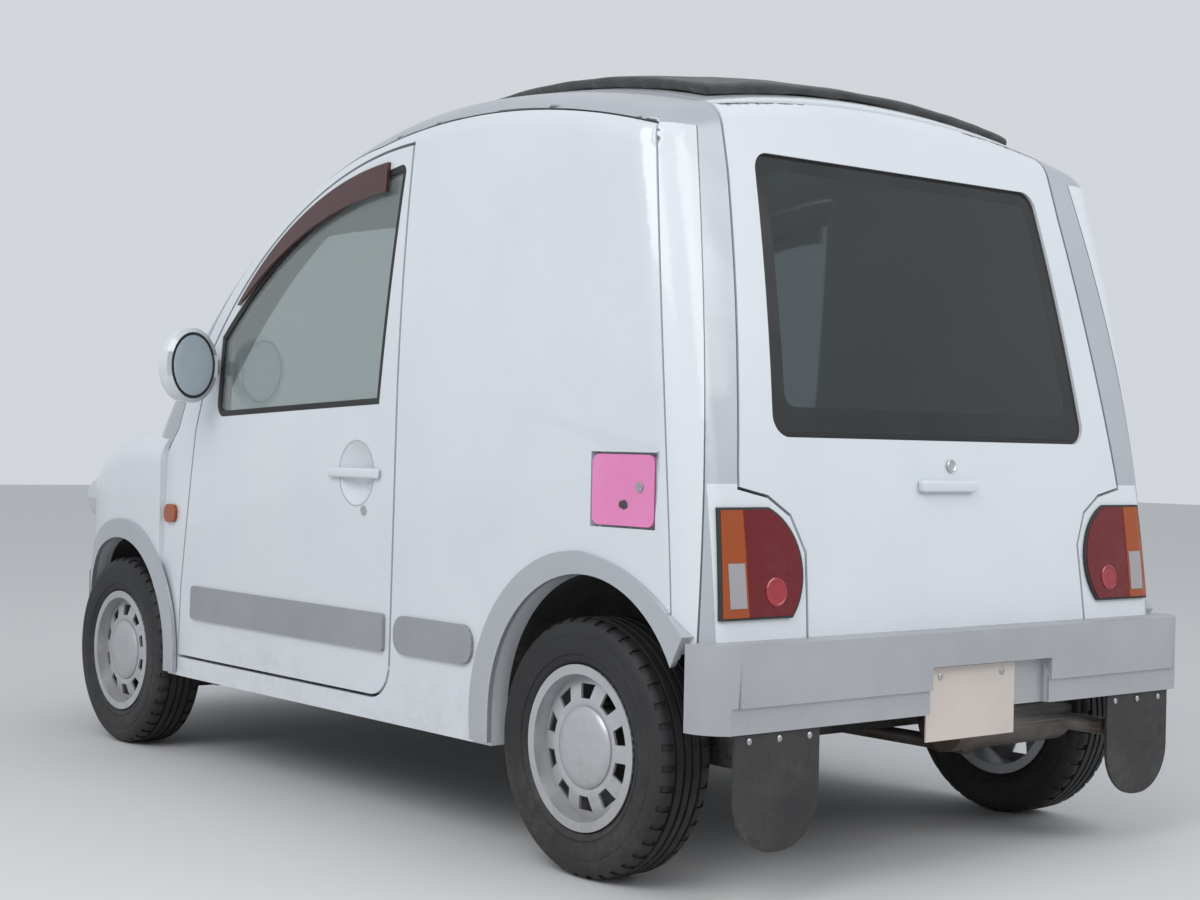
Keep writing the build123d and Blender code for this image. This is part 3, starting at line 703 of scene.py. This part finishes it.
# Tail lamps: dark gasket, red lens, amber and clear panes, round reflector
lamp_slope = 0.108
gasket_set_in = 0.0015
lens_share, lens_x, lens_y, lens_z = (1, 0.952, 0.955), -1.652, 0.603, 0.703
lamp_panes = (
    # name, look, y from and to, z from and to, how far it stands out
    ("lamp_amber_", "amber", (0.646, 0.740), (0.560, 0.840), 0.0010),
    ("lamp_clear_", "head", (0.652, 0.698), (0.612, 0.704), 0.0024),
)
for side_name, side in both_sides:
    gasket = merged_copy("tail_lamps", "lamp_gasket_" + side_name)
    keep_side(gasket, (0, 0, 0), (0, -side, 0))
    lens = own_copy(gasket, "lamp_lens_" + side_name)
    shift(gasket, (gasket_set_in, 0, 0))
    start_edit(lens)
    bpy.ops.transform.resize(value=lens_share, center_override=(lens_x, side * lens_y, lens_z))
    end_edit()
    for label, look, (y_low, y_high), (z_low, z_high), proud in lamp_panes:
        pane = own_copy(lens, label + side_name)
        keep_side(pane, (0, side * y_low, 0), (0, -side, 0))
        keep_side(pane, (0, side * y_high, 0), (0, side, 0))
        keep_side(pane, (0, 0, z_low), (0, 0, -1))
        keep_side(pane, (0, 0, z_high), (0, 0, 1))
        shift(pane, (-proud, 0, 0))
        dress(pane, look, "body")
    dress(gasket, "rubber", "body")
    dress(lens, "lamp", "body")
    if side == 1:
        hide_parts("tail_lamps")
    reflector = stepped_disc(
        "lamp_reflector_" + side_name, (-1.6672, side * 0.566, 0.643), (-1, 0, lamp_slope),
        radius=0.030, depth=0.004, steps=((0.003, 0.0012), (0.003, -0.001), (0.012, 0.0015)),
    )
    dress(reflector, "reflector", "body", angle=40)

# Rear window: black printed border round the tinted pane, narrower at the top
opening_x, opening_z, opening_top_z = -1.53, 1.2915, 1.553
opening_size, opening_top_share, opening_corner = (0.5, 0.96, 0.523), 0.925, 0.030
bpy.ops.mesh.primitive_cube_add(size=1, location=(opening_x, 0, opening_z))
opening = bpy.context.active_object
opening.scale = opening_size
settle(opening)
choose_faces(opening, lambda spot, facing: facing.z > 0.9)
bpy.ops.transform.resize(
    value=(1, opening_top_share, 1), center_override=(opening_x, 0, opening_top_z)
)
end_edit()
finish_with(opening, "BEVEL", width=opening_corner, segments=6, limit_method="NONE")
border = merged_copy("tailgate_glass", "window_border")
pane = own_copy(border, "window_pane")
finish_with(border, "BOOLEAN", operation="DIFFERENCE", solver="EXACT", object=opening)
finish_with(pane, "BOOLEAN", operation="INTERSECT", solver="EXACT", object=opening)
bpy.data.objects.remove(opening)
dress(border, "border", "tailgate")
dress(pane, "tint", "tailgate")
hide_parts("tailgate_glass")

# Tailgate handle and lock, and the fuel flap's lock
grip_low, grip_high, grip_edge = (-1.6545, -0.094, 0.8455), (-1.6275, 0.094, 0.8795), 0.0085
grip = rounded_block("tailgate_grip", grip_low, grip_high, grip_edge, 5)
choose_faces(grip, lambda spot, facing: abs(spot.y) > 0.084)
bpy.ops.transform.resize(value=(0.75, 1, 0.8), center_override=(-1.632, 0, 0.862))
end_edit()
dress(grip, "white", "tailgate", angle=50)
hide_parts("tailgate_handle")
lock = stepped_disc(
    "tailgate_lock", (-1.6285, -0.022, 0.909), (-1, 0, 0.15),
    radius=0.0145, depth=0.010, steps=((0.002, 0.001), (0.003, -0.001), (0.005, 0.0)),
)
dress(lock, "lock", "tailgate", angle=35)
lock = stepped_disc(
    "flap_lock", (-1.481, 0.7878, 0.855), (0, 1, 0),
    radius=0.011, depth=0.004, steps=((0.002, 0.0008), (0.003, -0.0008)),
)
dress(lock, "lock", "fuel_flap", angle=35)

# Tyres: sidewall lines, four tread grooves and shoulder blocks
side_line = [
    # radius, distance from the tyre's middle
    (0.1668, 0.0605), (0.1820, 0.0612), (0.1850, 0.0655), (0.1900, 0.0697), (0.1985, 0.0722),
    (0.2000, 0.0708), (0.2025, 0.0708), (0.2040, 0.0732), (0.2150, 0.0756), (0.2260, 0.0770),
    (0.2400, 0.0764), (0.2415, 0.0752), (0.2435, 0.0752), (0.2450, 0.0758), (0.2560, 0.0742),
    (0.2640, 0.0722), (0.2730, 0.0668), (0.2795, 0.0590), (0.2822, 0.0520), (0.2825, 0.0385),
    (0.2760, 0.0370), (0.2760, 0.0320), (0.2828, 0.0305), (0.2828, 0.0145), (0.2760, 0.0130),
    (0.2760, 0.0080), (0.2828, 0.0065),
]
tyre_profile = side_line + [(radius, -offset) for radius, offset in reversed(side_line)]
front_x, rear_x, wheel_y, wheel_z = 0.990, -1.270, 0.697, 0.283
wheel_spots = {
    "front_left": (front_x, 1), "front_right": (front_x, -1),
    "rear_left": (rear_x, 1), "rear_right": (rear_x, -1),
}
block_count, faces_per_block = 40, 3
faces_round = block_count * faces_per_block
shoulder_radius, shoulder_y, gap_depth = 0.2745, 0.0385, 0.0045
axle = Vector((rear_x, wheel_y, wheel_z))
tyre = turned_ring("tyre_pattern", tyre_profile, tuple(axle), faces_round)


def shoulder_gap(spot, facing):
    """One face in three round the tyre's shoulders."""
    arm = spot - axle
    flat_arm = Vector((arm.x, arm.z))
    turned = flat_arm.angle_signed(Vector((1, 0))) % (2 * pi) * faces_round / (2 * pi)
    on_shoulder = flat_arm.length > shoulder_radius and abs(arm.y) > shoulder_y
    return on_shoulder and int(turned) % faces_per_block == 0


choose_faces(tyre, shoulder_gap)
bpy.ops.mesh.extrude_region_shrink_fatten(TRANSFORM_OT_shrink_fatten={"value": -gap_depth})
end_edit()
cap_steps = ((0.004, 0.0035), (0.006, 0.0030), (0.012, 0.0030), (0.020, 0.0022), (0.024, 0.0012))
cap = stepped_disc(
    "hub_cap_pattern", (rear_x, 0.7500, wheel_z), (0, 1, 0),
    radius=0.089, depth=0.006, steps=cap_steps, corners=72,
)
for spot_name, (spot_x, side) in wheel_spots.items():
    for pattern, label, look in ((tyre, "tread_", "tyre"), (cap, "hub_cap_", "rim")):
        twin = own_copy(pattern, label + spot_name)
        if side < 0:
            twin.rotation_euler = (0, 0, pi)
        twin.location = (spot_x - side * rear_x, 0, 0)
        settle(twin)
        dress(twin, look, "wheel_" + spot_name, angle=32)
        if pattern is tyre:
            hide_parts("tyre_" + spot_name)
bpy.data.objects.remove(tyre)
bpy.data.objects.remove(cap)

# Mud flaps with round lower ends, and their screws
mud_flap_x, mud_flap_y, mud_flap_z = -1.7215, (0.490, 0.730), 0.243
mud_flap_thickness, mud_flap_height, mud_flap_corner = 0.0068, 0.246, 0.112


def lower_corner(edge):
    first, second = [corner.co for corner in edge.verts]
    return max(first.z, second.z) < 0.2 and abs(first.x - second.x) > 0.001


for side_name, side in both_sides:
    low_y, high_y = sorted((side * mud_flap_y[0], side * mud_flap_y[1]))
    bpy.ops.mesh.primitive_cube_add(
        size=1, location=(mud_flap_x, (low_y + high_y) / 2, mud_flap_z)
    )
    flap = bpy.context.active_object
    flap.name = "mud_flap_" + side_name
    flap.scale = (mud_flap_thickness, high_y - low_y, mud_flap_height)
    settle(flap)
    choose(flap, "EDGE", lower_corner)
    bpy.ops.mesh.bevel(offset=mud_flap_corner, segments=12, affect="EDGES")
    end_edit()
    dress(flap, "rubber", "body", angle=30)
    if side == 1:
        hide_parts("mud_flaps")
    for count, screw_y in enumerate((0.520, 0.607, 0.692)):
        screw(
            "flap_screw_%s_%d" % (side_name, count), (-1.7265, side * screw_y, 0.350),
            radius=0.007, depth=0.003, steps=((0.002, 0.0012), (0.002, 0.0004)),
        )

# Number plate screws
for count, screw_y in enumerate((0.105, -0.105)):
    screw(
        "plate_screw_%d" % count, (-1.7175, screw_y, 0.445),
        radius=0.008, depth=0.002, steps=((0.002, 0.001), (0.002, 0.0003)),
    )

# Seats: cushion, leaning back and headrest, crowned and rounded
back_lean = -0.187
seat_pieces = (
    # name, x from and to, y from and to about the seat's middle, z from and to, edge, lean, look
    ("seat_base_", (-0.220, 0.260), (-0.235, 0.235), (0.283, 0.402), 0.010, 0.0, "black"),
    ("seat_cushion_", (-0.258, 0.279), (-0.244, 0.244), (0.404, 0.539), 0.045, 0.0, "seat"),
    ("seat_back_", (-0.292, -0.178), (-0.238, 0.238), (0.490, 1.050), 0.045, back_lean, "seat"),
    ("headrest_", (-0.342, -0.250), (-0.118, 0.118), (1.078, 1.196), 0.035, back_lean, "seat"),
    ("headrest_post_", (-0.303, -0.291), (-0.050, -0.038), (1.040, 1.090), 0.003, 0.0, "lock"),
)
seam_steps = ((0.018, 0.0), (0.004, -0.005), (0.010, 0.007))


def broad_face(spot, facing):
    return max(abs(facing.x), abs(facing.z)) > 0.97 and abs(facing.y) < 0.1


for seat_name, seat_y in (("left", 0.350), ("right", -0.350)):
    for label, x_ends, y_ends, z_ends, edge_radius, lean, look in seat_pieces:
        low = (x_ends[0], seat_y + y_ends[0], z_ends[0])
        high = (x_ends[1], seat_y + y_ends[1], z_ends[1])
        pad = rounded_block(label + seat_name, low, high, edge_radius, 5, lean)
        if look == "seat":
            choose_faces(pad, broad_face)
            for inward, rise in seam_steps:
                bpy.ops.mesh.inset(thickness=inward, depth=rise)
            end_edit()
        dress(pad, look, "body", angle=60)
        if label == "seat_cushion_" and seat_name == "left":
            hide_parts("seats")

# Canvas top: crowned cloth with soft waves between its bows
canvas = merged_copy("canvas_top", "canvas_cloth_top")
finish_with(canvas, "REMESH", mode="VOXEL", voxel_size=0.011)
finish_with(canvas, "SMOOTH", factor=0.6, iterations=6)
waves_texture = bpy.data.textures.new("cloth_waves", "CLOUDS")
waves_texture.noise_scale = 0.16
finish_with(
    canvas, "DISPLACE",
    texture=waves_texture, strength=0.006, mid_level=0.6, texture_coords="LOCAL",
)
dress(canvas, "canvas", "body", angle=60)
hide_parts("canvas_top")

# Floor, light and background
floor_size, floor_grey, floor_roughness = 60, (0.62, 0.62, 0.62, 1), 0.9
sky_colour, sky_strength = (0.86, 0.90, 0.95, 1), 0.75

bpy.ops.object.select_all(action="DESELECT")
bpy.ops.mesh.primitive_plane_add(size=floor_size, location=(0, 0, 0))
floor = bpy.context.active_object
floor.name = "studio_floor"
floor_material, _, shader, _ = start_material("studio_floor")
shader.inputs["Base Color"].default_value = floor_grey
shader.inputs["Roughness"].default_value = floor_roughness
floor.data.materials.append(floor_material)

world = bpy.data.worlds.new("studio_world")
bpy.context.scene.world = world
world.use_nodes = True
background = world.node_tree.nodes["Background"]
background.inputs["Color"].default_value = sky_colour
background.inputs["Strength"].default_value = sky_strength


def soft_lamp(name, place, target, size, power):
    """A wide area lamp that faces its target."""
    data = bpy.data.lights.new(name, "AREA")
    data.shape = "RECTANGLE"
    data.size, data.size_y = size
    data.energy = power
    lamp = bpy.data.objects.new(name, data)
    bpy.context.collection.objects.link(lamp)
    way = (Vector(target) - Vector(place)).normalized()
    aim = way.to_track_quat("-Z", "Y").to_matrix().to_4x4()
    lamp.matrix_world = Matrix.Translation(place) @ aim


soft_lamp("sky_left", (-2.5, 6.0, 5.5), (0, 0, 0.8), size=(6, 4), power=260)
soft_lamp("sky_back", (-7.0, -2.0, 4.5), (-1.5, 0, 0.9), size=(5, 3), power=160)
